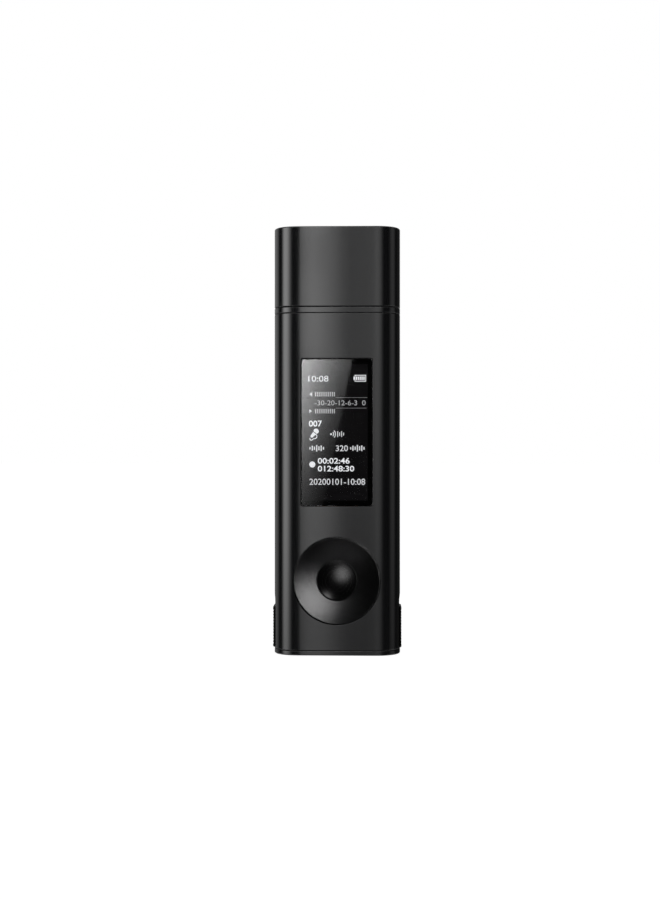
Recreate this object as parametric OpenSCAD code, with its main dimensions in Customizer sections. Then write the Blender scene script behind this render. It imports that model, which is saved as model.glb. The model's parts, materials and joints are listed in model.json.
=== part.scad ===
// Stick-shaped portable recorder: an aluminium tube with a pull-off cap over a USB plug,
// a colour screen, a dished four-way ring with a domed centre button, and a slide switch on each side.
// It stands on its end plate: +Z runs up its length, the front faces -Y, and the origin is the
// middle of the bottom face. "Depth" below is the distance inward from the flat front face.

/* [Case] */
// Length with the cap on
total_l = 100; // [99:0.5:102]
// Width across the flat sides
body_w = 29.7; // [29.6:0.1:30.2]
// Thickness from front to back
body_t = 14; // [14:0.1:14.4]
// Corner radius of the section
corner_r = 5.4; // [5.2:0.1:5.5]
// Wall of the aluminium tube
wall = 1; // [0.95:0.05:1]
// Small chamfer on the ends of the tube, the collar and the cap
edge_break = 0.12; // [0.08:0.01:0.15]

/* [Cap and collar] */
// Length of the pull-off cap
cap_l = 18.6; // [18.4:0.1:19]
// Wall of the cap
cap_wall = 1.1; // [1:0.05:1.1]
// Thickness of the cap's closed end
cap_top = 1.4; // [1.2:0.1:1.5]
// Chamfer round the top of the cap
cap_chamfer = 0.25; // [0.15:0.05:0.35]
// Height of the collar between cap and tube
collar_h = 1.3; // [1.1:0.1:1.4]
// Gap under the cap
cap_seam = 0.2; // [0.15:0.05:0.25]
// Gap at the fixed seams
seam = 0.12; // [0.1:0.02:0.15]

/* [End plate] */
// Thickness of the end plate
plate_h = 1.1; // [1:0.1:1.2]
// Chamfer round the bottom face
plate_chamfer = 0.3; // [0.2:0.05:0.35]

/* [Screen] */
// Height of the middle of the screen
screen_z = 52; // [51.5:0.1:52.5]
// Width of the window in the case
window_w = 16.8; // [16.6:0.1:17]
// Height of the window in the case
window_h = 34.5; // [34:0.1:34.8]
// Corner radius of the window
window_r = 0.6; // [0.5:0.1:0.8]
// Gap round the lens
lens_gap = 0.14; // [0.1:0.02:0.16]
// Width of the lit area
lit_w = 14.4; // [14:0.1:14.6]
// Height of the lit area
lit_h = 31.8; // [31.4:0.1:32.2]

/* [Ring and button] */
// Height of the middle of the ring
dial_z = 17.4; // [17.2:0.1:17.6]
// Radius of the round hole for the ring
dial_hole_r = 10.25; // [10.2:0.05:10.3]
// Outer radius of the ring
ring_r = 10.05; // [10:0.01:10.05]
// Radius of the hole through the ring
ring_bore_r = 4.78; // [4.75:0.01:4.9]
// Radius of the sphere that dishes the face of the ring
dish_r = 32; // [30:1:44]
// Radius of the centre button
button_r = 4.6; // [4.5:0.01:4.6]
// Radius of the sphere that domes the button
dome_r = 10; // [9.5:0.5:14]
// Travel of the centre button
button_travel = 0.2; // [0.15:0.01:0.25]

/* [Side slides] */
// Width of each slot, from front to back
slot_w = 6.2; // [5.9:0.1:6.3]
// Height of the top of each slot
slot_top = 14.3; // [14.2:0.1:14.6]
// Height of the underside of each slide
slide_z = 1.35; // [1.3:0.05:1.4]
// Length of each slide
slide_l = 9.75; // [9.5:0.05:9.8]
// How far each slide stands out of the side
slide_proud = 0.3; // [0.2:0.05:0.5]
// Travel of each slide
slide_travel = 2; // [1.5:0.1:2]

/* [Sockets and openings] */
// Bore radius of the 3.5 mm socket
jack_bore_r = 1.8; // [1.78:0.01:1.85]
// Height of the microphones
mic_z = 72; // [71.8:0.1:72.2]
// Height of the middle of the loudspeaker
speaker_z = 21.7; // [21.5:0.1:22]

/* [Hidden] */
$fn = 64;
eps = 0.01;
fit = 0.05;             // gap between fixed pieces that are bonded or clipped together
loose = 0.1;            // gap on each side of a sliding fit

cap_z = total_l - cap_l;
collar_z1 = cap_z - cap_seam;
collar_z0 = collar_z1 - collar_h;
shell_z0 = plate_h + seam;
shell_z1 = collar_z0 - seam;

inner_w = body_w - 2 * wall;
inner_t = body_t - 2 * wall;
inner_r = corner_r - wall;

// the cap's cavity, its liner and the neck that the liner slides on
cap_bore_w = body_w - 2 * cap_wall;
cap_bore_t = body_t - 2 * cap_wall;
cap_bore_r = corner_r - cap_wall;
liner_wall = 1.15;
liner_bore_w = cap_bore_w - 2 * fit - 2 * liner_wall;
liner_bore_t = cap_bore_t - 2 * fit - 2 * liner_wall;
liner_bore_r = cap_bore_r - fit - liner_wall;
neck_w = liner_bore_w - 2 * loose;
neck_t = liner_bore_t - 2 * loose;
neck_r = liner_bore_r - loose;
neck_top = cap_z + 2.8;
neck_skirt = 4;
neck_foot = shell_z1 - neck_skirt + 0.1;

// USB type A plug
usb_w = 12;
usb_t = 4.5;
usb_skin = 0.3;
usb_out = 12;
usb_tip = neck_top + usb_out;
usb_l = 21.6;

// depths of the main board
board_front = 3.9;
board_back = 4.7;
board_w = 24;
board_z0 = 2.6;
board_z1 = neck_foot + 2.8;

// screen stack, as depths
lens_front = 0.03;
lens_t = 0.8;
mask_t = 0.06;
panel_front = lens_front + lens_t + mask_t + 0.04;
panel_t = 1;
backlight_t = 1.25;
panel_w = lit_w + 0.6;
panel_h = lit_h + 1;

// ring stack, as depths
ring_base = 2.1;
flange_top = 1.55;
flange_r = 10.7;
button_skirt_top = 2.4;
button_skirt_t = 0.25;
button_skirt_r = 5.3;
pivot_depth = 3.35;
pivot_r = 0.3;
pivot_hole_r = 0.35;
pivot_reach = 6.15;
ear_mid = 5.875;
ear_l = 0.75;
ear_w = 1.5;
nub_ring = 8;
nub_end = 3.35;
dome_h = 0.3;
stem_end = board_front - dome_h - button_travel - 0.1;
key_dome_r = 1.5;
centre_dome_r = 2;

// side slides
slide_w = slot_w - 0.4;
slide_inner_x = body_w / 2 - 1.75;
slide_foot_x = slide_inner_x - 0.7;
slide_foot_w = slot_w + 1.3;
rib_pitch = 0.7;
rib_depth = 0.16;
lever_z = 6.4;
switch_z0 = 4.4;
switch_l = 7.4;
switch_x0 = 8.7;
switch_x1 = 12;
switch_x = (switch_x0 + switch_x1) / 2;
switch_w = switch_x1 - switch_x0;
switch_t = 3.35;

// lower frame, loudspeaker and socket
lower_z1 = 29.5;
lower_depth = 8.7;
speaker_w = 15;
speaker_h = 11;
speaker_depth = 9.9;
jack_y = 0.8;
jack_z1 = 14.8;
jack_mouth_r = jack_bore_r + 0.35;
screw_x = 8.2;
screw_y = 3.4;

// battery
battery_w = 21.6;
battery_t = 5;
battery_z0 = 30.5;
battery_l = 36;
battery_depth = 7;

// ---------- shared shapes ----------

// Flat outline with true arcs at its corners.
module rounded(w, h, r) {
    square([w - 2 * r, h], center = true);
    square([w, h - 2 * r], center = true);
    for (x = [-1, 1], y = [-1, 1])
        translate([x * (w / 2 - r), y * (h / 2 - r)]) circle(r);
}

// Upright prism with rounded corners, from z0 to z1.
module prism(w, t, r, z0, z1) {
    translate([0, 0, z0]) linear_extrude(z1 - z0) rounded(w, t, r);
}

// Prism whose outline steps in by an inset at each height: steps is a list of [height, inset].
module edged_prism(w, t, r, steps) {
    last = len(steps) - 1;
    for (x = [-1, 1], y = [-1, 1])
        translate([x * (w / 2 - r), y * (t / 2 - r), 0])
            rotate_extrude()
                polygon(concat(
                    [[0, steps[0][0]]],
                    [for (s = steps) [r - s[1], s[0]]],
                    [[0, steps[last][0]]]
                ));
    rotate([90, 0, 0])
        linear_extrude(t - 2 * r, center = true) sided(w / 2, steps);
    rotate([90, 0, 90])
        linear_extrude(w - 2 * r, center = true) sided(t / 2, steps);
}

// Both flanks of an edged prism, for a half width.
module sided(half, steps) {
    last = len(steps) - 1;
    polygon(concat(
        [for (s = steps) [half - s[1], s[0]]],
        [for (i = [last : -1 : 0]) [-(half - steps[i][1]), steps[i][0]]]
    ));
}

// Puts children on the front face at a height.
// Local X stays, local Y is up and local Z comes out of the face.
module on_face(z) {
    translate([0, -body_t / 2, z]) rotate([90, 0, 0]) children();
}

// Block standing in the case: its width is centred on x, and it runs over a range of depth and of height.
module block(x, w, depth0, depth1, z0, z1) {
    translate([x - w / 2, -body_t / 2 + depth0, z0]) cube([w, depth1 - depth0, z1 - z0]);
}

// Plate parallel to the front face with rounded corners, centred on a height.
module face_plate(w, h, r, depth0, depth1, z) {
    on_face(z) translate([0, 0, -depth1]) linear_extrude(depth1 - depth0) rounded(w, h, r);
}

// Round bar along X.
module bar_x(r, x0, x1, y, z) {
    translate([x0, y, z]) rotate([0, 90, 0]) cylinder(r = r, h = x1 - x0);
}

// Everything inside the tube, less a gap.
module tube_inside(gap, z0, z1) {
    prism(inner_w - 2 * gap, inner_t - 2 * gap, inner_r - gap, z0, z1);
}

// ---------- case ----------

// Side opening for a slide: open at the bottom of the tube, with rounded corners at its top.
module slide_slot() {
    r = 2.2;
    reach = body_w / 2 + 1;
    rotate([90, 0, 90]) translate([0, 0, inner_w / 2 - 3]) linear_extrude(reach - inner_w / 2 + 3) {
        translate([-slot_w / 2, 0]) square([slot_w, slot_top - r]);
        translate([-slot_w / 2 + r, 0]) square([slot_w - 2 * r, slot_top]);
        for (s = [-1, 1])
            translate([s * (slot_w / 2 - r), slot_top - r]) circle(r);
    }
}

module mic_holes() {
    for (dz = [-1.4, 0, 1.4])
        bar_x(0.4, inner_w / 2 - 1, body_w / 2 + 1, 0, mic_z + dz);
}

module speaker_holes() {
    pitch = 1.7;
    for (i = [-3 : 3], j = [-1 : 1])
        translate([i * pitch, body_t / 2 - wall - 1, speaker_z + j * pitch])
            rotate([-90, 0, 0]) cylinder(r = 0.45, h = wall + 2);
}

module body_shell() {
    color([0.16, 0.16, 0.17]) difference() {
        edged_prism(body_w, body_t, corner_r, [
            [shell_z0, edge_break], [shell_z0 + edge_break, 0],
            [shell_z1 - edge_break, 0], [shell_z1, edge_break]
        ]);
        prism(inner_w, inner_t, inner_r, shell_z0 - 1, shell_z1 + 1);
        on_face(screen_z)
            edged_prism(window_w, window_h, window_r, [
                [-wall - 1, 0], [-0.15, 0], [0, -0.15], [0.2, -0.15]
            ]);
        on_face(dial_z) {
            translate([0, 0, -wall - 1]) cylinder(r = dial_hole_r, h = wall + 2);
            translate([0, 0, -0.12]) cylinder(r1 = dial_hole_r, r2 = dial_hole_r + 0.24, h = 0.24);
        }
        for (s = [0, 1]) mirror([s, 0, 0]) {
            slide_slot();
            mic_holes();
        }
        speaker_holes();
    }
}

module bottom_plate() {
    color([0.14, 0.14, 0.15]) difference() {
        union() {
            edged_prism(body_w, body_t, corner_r, [
                [0, plate_chamfer], [plate_chamfer, 0],
                [plate_h - edge_break, 0], [plate_h, edge_break]
            ]);
            prism(21, 10.6, 2.5, plate_h - 0.2, plate_h + 1.1);
        }
        translate([0, jack_y, -1]) cylinder(r = jack_mouth_r, h = 4);
        translate([0, jack_y, plate_h]) cylinder(r = 2.7, h = 2);
        translate([0, jack_y, -0.2]) cylinder(r1 = jack_mouth_r + 0.5, r2 = jack_mouth_r, h = 0.5);
        for (s = [-1, 1]) translate([s * screw_x, screw_y, 0]) {
            translate([0, 0, -1]) cylinder(r = 0.8, h = 4);
            translate([0, 0, -1]) cylinder(r = 1.35, h = 1.9);
        }
    }
}

// One small pan screw pointing up, with its head's underside at the origin.
module small_screw(head_r, head_h, shank_r, shank_l) {
    difference() {
        union() {
            translate([0, 0, -head_h]) cylinder(r = head_r, h = head_h);
            cylinder(r = shank_r, h = shank_l);
        }
        for (a = [0, 90]) rotate([0, 0, a])
            translate([-head_r * 0.6, -0.12, -head_h - 0.1])
                cube([head_r * 1.2, 0.24, 0.1 + head_h * 0.55]);
    }
}

module bottom_screws() {
    color([0.25, 0.25, 0.27])
        for (s = [-1, 1]) translate([s * screw_x, screw_y, 0.9])
            small_screw(1.2, 0.65, 0.7, 5);
}

module collar_ring() {
    color([0.16, 0.16, 0.17]) difference() {
        edged_prism(body_w, body_t, corner_r, [
            [collar_z0, edge_break], [collar_z0 + edge_break, 0],
            [collar_z1 - edge_break, 0], [collar_z1, edge_break]
        ]);
        prism(neck_w + 2 * fit, neck_t + 2 * fit, neck_r + fit, collar_z0 - 1, collar_z1 + 1);
    }
}

module neck_frame() {
    color([0.09, 0.09, 0.1]) difference() {
        union() {
            tube_inside(0.12, neck_foot, collar_z0 - fit);
            edged_prism(neck_w, neck_t, neck_r, [
                [collar_z0 - 0.5, 0], [neck_top - 0.3, 0], [neck_top, 0.3]
            ]);
        }
        prism(25, 9.4, 3.1, neck_foot - 1, shell_z1 - 0.8);
        translate([-usb_w / 2 - fit, -usb_t / 2 - fit, neck_foot - 1])
            cube([usb_w + 2 * fit, usb_t + 2 * fit, neck_top - neck_foot + 2]);
    }
}

// ---------- USB plug ----------

module usb_plug_shell() {
    color([0.78, 0.78, 0.8]) difference() {
        prism(usb_w, usb_t, 0.4, usb_tip - usb_l, usb_tip);
        translate([-usb_w / 2 + usb_skin, -usb_t / 2 + usb_skin, usb_tip - usb_l - 1])
            cube([usb_w - 2 * usb_skin, usb_t - 2 * usb_skin, usb_l + 2]);
        for (s = [-1, 1])
            translate([s * 2.85 - 1, -usb_t, usb_tip - 6.2]) cube([2, 2 * usb_t, 2]);
    }
}

module usb_tongue() {
    gap = fit;
    color([0.92, 0.92, 0.9])
        translate([-usb_w / 2 + usb_skin + gap, usb_t / 2 - usb_skin - gap - 1.85, usb_tip - usb_l + 1])
            cube([usb_w - 2 * (usb_skin + gap), 1.85, usb_l - 1.5]);
}

module usb_contacts() {
    face = usb_t / 2 - usb_skin - fit - 1.85;
    color([0.85, 0.65, 0.25])
        for (x = [-3.5, -1, 1, 3.5])
            translate([x - 0.5, face - 0.13, usb_tip - (abs(x) > 2 ? 8.6 : 8.1)])
                cube([1, 0.12, abs(x) > 2 ? 7.4 : 6.4]);
}

// ---------- screen ----------

lens_w = window_w - 2 * lens_gap;
lens_h = window_h - 2 * lens_gap;

module screen_lens() {
    color([0.05, 0.05, 0.06, 0.5])
        face_plate(lens_w, lens_h, window_r - lens_gap / 2, lens_front, lens_front + lens_t, screen_z);
}

module lens_mask() {
    back = lens_front + lens_t + mask_t;
    color([0.01, 0.01, 0.01]) difference() {
        face_plate(lens_w - 0.1, lens_h - 0.1, 0.4, lens_front + lens_t + eps, back, screen_z);
        block(0, lit_w, back - 1, back + 1, screen_z - lit_h / 2, screen_z + lit_h / 2);
    }
}

module lens_adhesive() {
    color([0.06, 0.06, 0.06]) difference() {
        face_plate(lens_w - 0.1, lens_h - 0.1, 0.4,
            lens_front + lens_t + mask_t + eps, wall + 0.1 - eps, screen_z);
        block(0, panel_w + 0.3, 0, 3, screen_z - panel_h / 2 - 0.15, screen_z + panel_h / 2 + 0.15);
    }
}

module display_panel() {
    color([0.03, 0.03, 0.04])
        block(0, panel_w, panel_front, panel_front + panel_t,
            screen_z - panel_h / 2, screen_z + panel_h / 2);
}

module display_backlight() {
    d0 = panel_front + panel_t + fit;
    color([0.75, 0.75, 0.77])
        face_plate(panel_w + 0.2, panel_h + 0.2, 0.3, d0, d0 + backlight_t, screen_z);
}

// Ribbon cable: leaves the panel's lower edge, turns back under the backlight and runs up the board.
module display_flex() {
    t = 0.12;
    front = panel_front + panel_t - 0.3;
    back = board_front - 0.2;
    turn = (back - front) / 2;
    foot = screen_z - panel_h / 2 - 0.35;
    color([0.75, 0.5, 0.15])
        translate([-5, -body_t / 2, 0]) rotate([90, 0, 90]) linear_extrude(10) {
            translate([front - t / 2, foot]) square([t, 0.3]);
            translate([back - t / 2, foot]) square([t, 9]);
            translate([front + turn, foot]) difference() {
                circle(turn + t / 2);
                circle(turn - t / 2);
                translate([-5, 0]) square([10, 5]);
            }
        }
}

module flex_connector() {
    z0 = screen_z - panel_h / 2 + 8.8;
    color([0.85, 0.82, 0.75])
        block(0, 11, board_front - 0.56, board_front - eps, z0, z0 + 2.6);
}

// ---------- inner frames ----------

module upper_chassis() {
    z0 = lower_z1 + 0.3;
    z1 = neck_foot - 0.3;
    color([0.2, 0.2, 0.21]) difference() {
        intersection() {
            tube_inside(0.12, z0, z1);
            union() {
                block(0, body_w, wall + 0.1, board_front - fit, z0, z1);
                for (s = [-1, 1])
                    block(s * (board_w / 2 + 1.2), 2, wall + 0.1, 10, z0, z1);
            }
        }
        // pocket for the panel and its backlight, with room below for the ribbon's turn
        block(0, panel_w + 0.5, 0, 5, screen_z - panel_h / 2 - 0.25, screen_z + panel_h / 2 + 0.25);
        block(0, 10.6, 0, 5, screen_z - panel_h / 2 - 2, screen_z);
        // room for the microphone boots
        for (s = [-1, 1]) {
            block(s * 13, 6, 4.5, 11, mic_z - 2.6, mic_z + 2.6);
            for (z = board_screw_z)
                translate([s * board_screw_x, -body_t / 2 + 1.9, z])
                    rotate([-90, 0, 0]) cylinder(r = 0.65, h = 5);
        }
    }
}

module lower_frame() {
    z0 = plate_h + 1.4;
    color([0.2, 0.2, 0.21]) difference() {
        intersection() {
            tube_inside(0.12, z0, lower_z1);
            union() {
                block(0, body_w, lower_depth, body_t, z0, lower_z1);
                for (s = [-1, 1])
                    block(s * 11.4, 1.2, board_back + fit, lower_depth + 1, slot_top + 1, lower_z1);
            }
        }
        // seat of the loudspeaker, with a hole for each of its wires
        block(0, speaker_w + 0.2, speaker_depth - fit, body_t,
            speaker_z - speaker_h / 2 - 0.1, speaker_z + speaker_h / 2 + 0.1);
        for (s = [-1, 1]) {
            translate([s * 3, 0, speaker_z - 3]) rotate([-90, 0, 0]) cylinder(r = 0.7, h = body_t);
            // room for the slide's foot, and the screw's hole
            block(s * (slide_foot_x + 2.3), 5, 0, body_t, 0, slot_top + 0.6);
            translate([s * screw_x, screw_y, 0]) cylinder(r = 0.75, h = 6.5);
        }
        block(0, 7, 0, 10.8, 0, jack_z1 + 0.2);
    }
}

// ---------- electronics ----------

board_screw_x = 10.6;
board_screw_z = [31.6, 67];
peg_at = 6.1;

module main_board() {
    color([0.04, 0.2, 0.1]) difference() {
        union() {
            block(0, board_w, board_front, board_back, board_z0, neck_foot - 1);
            block(0, 20, board_front, board_back, neck_foot - 2, board_z1);
        }
        for (x = [-1, 1]) {
            for (z = board_screw_z)
                on_face(z) translate([x * board_screw_x, 0, -6]) cylinder(r = 0.75, h = 5);
            for (z = [-1, 1])
                on_face(dial_z) translate([x * peg_at, z * peg_at, -6]) cylinder(r = 0.55, h = 5);
        }
    }
}

module board_screws() {
    color([0.7, 0.7, 0.72])
        for (s = [-1, 1], z = board_screw_z)
            on_face(z) translate([s * board_screw_x, 0, -board_back - eps])
                small_screw(1.1, 0.6, 0.6, 2.6);
}

// Chip on the back of the board.
module chip(x, z, w, h, t, shade) {
    color(shade) block(x, w, board_back + eps, board_back + eps + t, z - h / 2, z + h / 2);
}

module processor_chip() { chip(0, 46, 8, 8, 0.9, [0.08, 0.08, 0.09]); }

module memory_chip() { chip(0, 59, 12, 9, 1.1, [0.1, 0.1, 0.11]); }

module audio_chip() { chip(-7.2, 70.5, 5, 5, 0.8, [0.08, 0.08, 0.09]); }

module clock_crystal() { chip(7, 47, 3.2, 2.5, 0.8, [0.75, 0.75, 0.76]); }

module small_parts() {
    color([0.6, 0.45, 0.3]) {
        for (i = [0 : 5])
            block(-8, 0.9, board_back + eps, board_back + 0.5, 40 + 1.8 * i, 41 + 1.8 * i);
        for (i = [0 : 4])
            block(-5 + 2.4 * i, 1.4, board_back + eps, board_back + 0.7, 36, 36.8);
        for (i = [0 : 3])
            block(2 + 2 * i, 1.2, board_back + eps, board_back + 0.6, 70, 71.8);
    }
}

module battery_cell() {
    color([0.72, 0.73, 0.76])
        translate([0, -body_t / 2 + battery_depth + battery_t / 2, 0])
            prism(battery_w, battery_t, 2.2, battery_z0, battery_z0 + battery_l);
}

module battery_board() {
    z0 = battery_z0 + battery_l + fit;
    color([0.05, 0.25, 0.35]) block(0, 14, battery_depth + 0.6, battery_depth + 4.4, z0, z0 + 0.8);
}

// Two leads that rise from the battery's board, turn forward and meet the main board.
module battery_wires() {
    r = 0.4;
    bend = 1.2;
    z0 = battery_z0 + battery_l + fit + 0.8 + eps;
    rise = 0.6;
    y0 = -body_t / 2 + battery_depth + 2.5;
    for (s = [-1, 1])
        color(s < 0 ? [0.75, 0.05, 0.05] : [0.05, 0.05, 0.05]) translate([s * 2, y0, z0]) {
            cylinder(r = r, h = rise);
            translate([0, -bend, rise]) rotate([90, 0, 90])
                rotate_extrude(angle = 90) translate([bend, 0]) circle(r);
            translate([0, -bend, rise + bend]) rotate([90, 0, 0])
                cylinder(r = r, h = y0 - bend + body_t / 2 - board_back - eps);
        }
}

module speaker_frame() {
    back = speaker_depth + 2.5;
    color([0.12, 0.12, 0.13]) difference() {
        face_plate(speaker_w, speaker_h, 1.5, speaker_depth, back, speaker_z);
        face_plate(speaker_w - 2, speaker_h - 2, 1, speaker_depth + 0.8, back + 1, speaker_z);
    }
}

module speaker_cone() {
    back = speaker_depth + 2.2;
    color([0.55, 0.55, 0.5]) difference() {
        face_plate(speaker_w - 2.2, speaker_h - 2.2, 1, back - 0.6, back, speaker_z);
        face_plate(8, 5, 2.4, back - 0.25, back + 1, speaker_z);
    }
}

module speaker_gasket() {
    color([0.15, 0.15, 0.15]) difference() {
        face_plate(speaker_w, speaker_h, 1.5, speaker_depth + 2.52, body_t - wall - 0.16, speaker_z);
        face_plate(speaker_w - 2, speaker_h - 2, 1, speaker_depth, body_t, speaker_z);
    }
}

module speaker_mesh() {
    color([0.05, 0.05, 0.05])
        face_plate(speaker_w, speaker_h, 1.5, body_t - wall - 0.14, body_t - wall - 0.04, speaker_z);
}

module speaker_wires() {
    for (s = [-1, 1])
        color(s < 0 ? [0.75, 0.05, 0.05] : [0.05, 0.05, 0.05])
            translate([s * 3, -body_t / 2 + board_back + eps, speaker_z - 3])
                rotate([-90, 0, 0]) cylinder(r = 0.35, h = speaker_depth - board_back - 2 * eps);
}

mic_x = 11.25;

// Electret capsule on the right-hand side, facing outward.
module microphone() {
    color([0.75, 0.76, 0.78]) difference() {
        bar_x(1.5, mic_x, mic_x + 1.5, 0, mic_z);
        bar_x(0.45, mic_x + 1.2, mic_x + 2, 0, mic_z);
    }
}

// Rubber boot that carries the sound from the wall to the capsule.
module mic_boot() {
    color([0.07, 0.07, 0.07]) difference() {
        bar_x(2.1, mic_x - 0.35, inner_w / 2 - 0.15, 0, mic_z);
        bar_x(1.52, mic_x - 0.05, mic_x + 1.6, 0, mic_z);
        bar_x(1.8, mic_x + 1.59, body_w / 2, 0, mic_z);
    }
}

module left_microphone() { mirror([1, 0, 0]) microphone(); }

module right_microphone() { microphone(); }

module left_mic_boot() { mirror([1, 0, 0]) mic_boot(); }

module right_mic_boot() { mic_boot(); }

module headphone_socket() {
    color([0.08, 0.08, 0.09]) difference() {
        union() {
            translate([0, jack_y, plate_h + fit]) cylinder(r = 2.6, h = 2);
            translate([-3.2, jack_y - 2.7, plate_h + 1.3]) cube([6.4, 5.4, jack_z1 - plate_h - 1.3]);
        }
        translate([0, jack_y, 0]) cylinder(r = jack_bore_r, h = jack_z1 - 0.7);
    }
}

module socket_contacts() {
    color([0.85, 0.7, 0.3])
        for (z = [4.2, 7.7, 11.2])
            translate([-2.4, -body_t / 2 + board_back + eps, z])
                cube([4.8, jack_y - 2.7 + body_t / 2 - board_back - 2 * eps, 0.9]);
}

// ---------- ring, its pivot and the button ----------

// Fixed plate on the board: it locates the domes and holds the pivot's side pins in two ears.
module key_frame() {
    plate_front = 3.45;
    color([0.25, 0.25, 0.26]) on_face(dial_z) difference() {
        union() {
            translate([0, 0, -board_front + 0.02])
                cylinder(r = 10.4, h = board_front - plate_front - 0.02);
            for (s = [-1, 1]) {
                translate([s * ear_mid - ear_l / 2, -ear_w / 2, -board_front + 0.02])
                    cube([ear_l, ear_w, board_front - 2.77]);
                for (t = [-1, 1])
                    translate([s * peg_at, t * peg_at, -board_back - 0.2])
                        cylinder(r = 0.5, h = 1.2);
            }
        }
        difference() {
            translate([0, 0, -5]) cylinder(r = 4.9, h = 5);
            for (s = [-1, 1])
                translate([s * 7 - 1.5, -ear_w / 2, -5]) cube([3, ear_w, 5]);
        }
        for (a = [0 : 90 : 270]) rotate([0, 0, a])
            translate([nub_ring + 0.05, 0, -5]) cylinder(r = key_dome_r + 0.2, h = 5);
        for (s = [-1, 1])
            translate([-1.2, s * 5.8 - 1.1, -5]) cube([2.4, 2.2, 5]);
        translate([0, 0, -pivot_depth]) rotate([0, 90, 0])
            cylinder(r = pivot_hole_r, h = 16, center = true);
    }
}

// Snap domes on the board: four under the ring and one under the button.
module key_domes() {
    color([0.8, 0.78, 0.7]) on_face(dial_z) {
        for (a = [0 : 90 : 270]) rotate([0, 0, a])
            translate([nub_ring, 0, -board_front + eps])
                cylinder(r1 = key_dome_r, r2 = key_dome_r * 0.6, h = dome_h - eps);
        translate([0, 0, -board_front + eps])
            cylinder(r1 = centre_dome_r, r2 = centre_dome_r * 0.6, h = dome_h - eps);
    }
}

// Universal joint of the ring: side pins turn in the key frame, upper and lower pins carry the ring.
module rocker_cross() {
    color([0.7, 0.7, 0.72]) on_face(dial_z) translate([0, 0, -pivot_depth]) {
        difference() {
            translate([0, 0, -0.2]) cylinder(r = 3.3, h = 0.4);
            translate([0, 0, -1]) cylinder(r = 2.3, h = 2);
        }
        for (a = [0 : 90 : 270]) rotate([0, 0, a])
            translate([2.8, 0, 0]) rotate([0, 90, 0]) cylinder(r = pivot_r, h = pivot_reach - 2.8);
    }
}

module nav_ring() {
    rim = 0.05;
    color([0.1, 0.1, 0.1]) on_face(dial_z) difference() {
        union() {
            translate([0, 0, -ring_base]) cylinder(r = ring_r, h = ring_base - rim);
            translate([0, 0, -ring_base]) cylinder(r = flange_r, h = ring_base - flange_top);
            for (a = [0 : 90 : 270]) rotate([0, 0, a])
                translate([nub_ring, 0, -nub_end]) cylinder(r = 0.8, h = nub_end - ring_base + 0.2);
            for (s = [-1, 1])
                translate([-ear_w / 2, s * ear_mid - ear_l / 2, -pivot_depth - 0.2])
                    cube([ear_w, ear_l, pivot_depth - ring_base + 0.4]);
        }
        translate([0, 0, sqrt(dish_r * dish_r - ring_r * ring_r) - rim]) sphere(dish_r, $fn = 160);
        translate([0, 0, -5]) cylinder(r = ring_bore_r, h = 6);
        rim_break(ring_r, rim, 0.14);
        translate([0, 0, -pivot_depth]) rotate([90, 0, 0])
            cylinder(r = pivot_hole_r, h = 16, center = true);
        for (s = [-1, 1])
            translate([-pivot_hole_r, s * 5.9 - 1, -pivot_depth - 1]) cube([2 * pivot_hole_r, 2, 1]);
    }
}

// Chamfer round the rim of a disc whose top is at the given depth.
module rim_break(r, depth, size) {
    rotate_extrude()
        polygon([
            [r - size, -depth + eps], [r + 1, -depth + eps],
            [r + 1, -depth - size - 1], [r, -depth - size]
        ]);
}

module centre_button() {
    top = 0.02;
    color([0.1, 0.1, 0.1]) on_face(dial_z) {
        intersection() {
            translate([0, 0, -button_skirt_top - 0.1])
                cylinder(r = button_r, h = button_skirt_top + 0.1 - top);
            translate([0, 0, -dome_r - top]) sphere(dome_r, $fn = 160);
        }
        translate([0, 0, -button_skirt_top - button_skirt_t])
            cylinder(r = button_skirt_r, h = button_skirt_t);
        translate([0, 0, -stem_end]) cylinder(r = 1.6, h = stem_end - button_skirt_top);
    }
}

// ---------- side slides ----------

// Thumb piece on the right-hand side: a ribbed block through the slot, with a wide foot inside.
module slide_piece() {
    outer = body_w / 2 + slide_proud;
    z1 = slide_z + slide_l;
    ribs = floor((slide_l - 1.2) / rib_pitch);
    color([0.03, 0.03, 0.03]) difference() {
        union() {
            translate([0, 0, slide_z + slide_l / 2]) rotate([90, 0, 90])
                translate([0, 0, slide_inner_x - 0.1])
                    edged_prism(slide_w, slide_l, 0.6, [[0, 0], [outer - slide_inner_x - 0.1, 0],
                        [outer - slide_inner_x + 0.1, 0.2]]);
            translate([slide_foot_x, -slide_foot_w / 2, slide_z + 0.1])
                cube([slide_inner_x - slide_foot_x, slide_foot_w, slide_l - 0.2]);
        }
        for (i = [0 : ribs])
            translate([outer, 0, (slide_z + z1) / 2 + (i - ribs / 2) * rib_pitch])
                rotate([90, 0, 0]) linear_extrude(slide_w + 1, center = true)
                    polygon([[-rib_depth, 0], [0.1, -rib_depth * 1.3], [0.1, rib_depth * 1.3]]);
        // pocket that takes the switch's lever
        translate([slide_foot_x - 0.2, -0.65, lever_z - 0.55]) cube([0.7, 1.3, 1.1]);
    }
}

// Lever of the switch: it stands out of the case and sits in the slide's pocket.
module switch_lever() {
    color([0.85, 0.85, 0.82]) {
        translate([switch_x0 + 0.9, -1.5, lever_z - 0.8]) cube([switch_x1 - switch_x0 - 1.4, 2, 1.6]);
        translate([switch_x1 - 0.6, -0.6, lever_z - 0.5]) cube([slide_foot_x - switch_x1 + 1, 1.2, 1]);
    }
}

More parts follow.
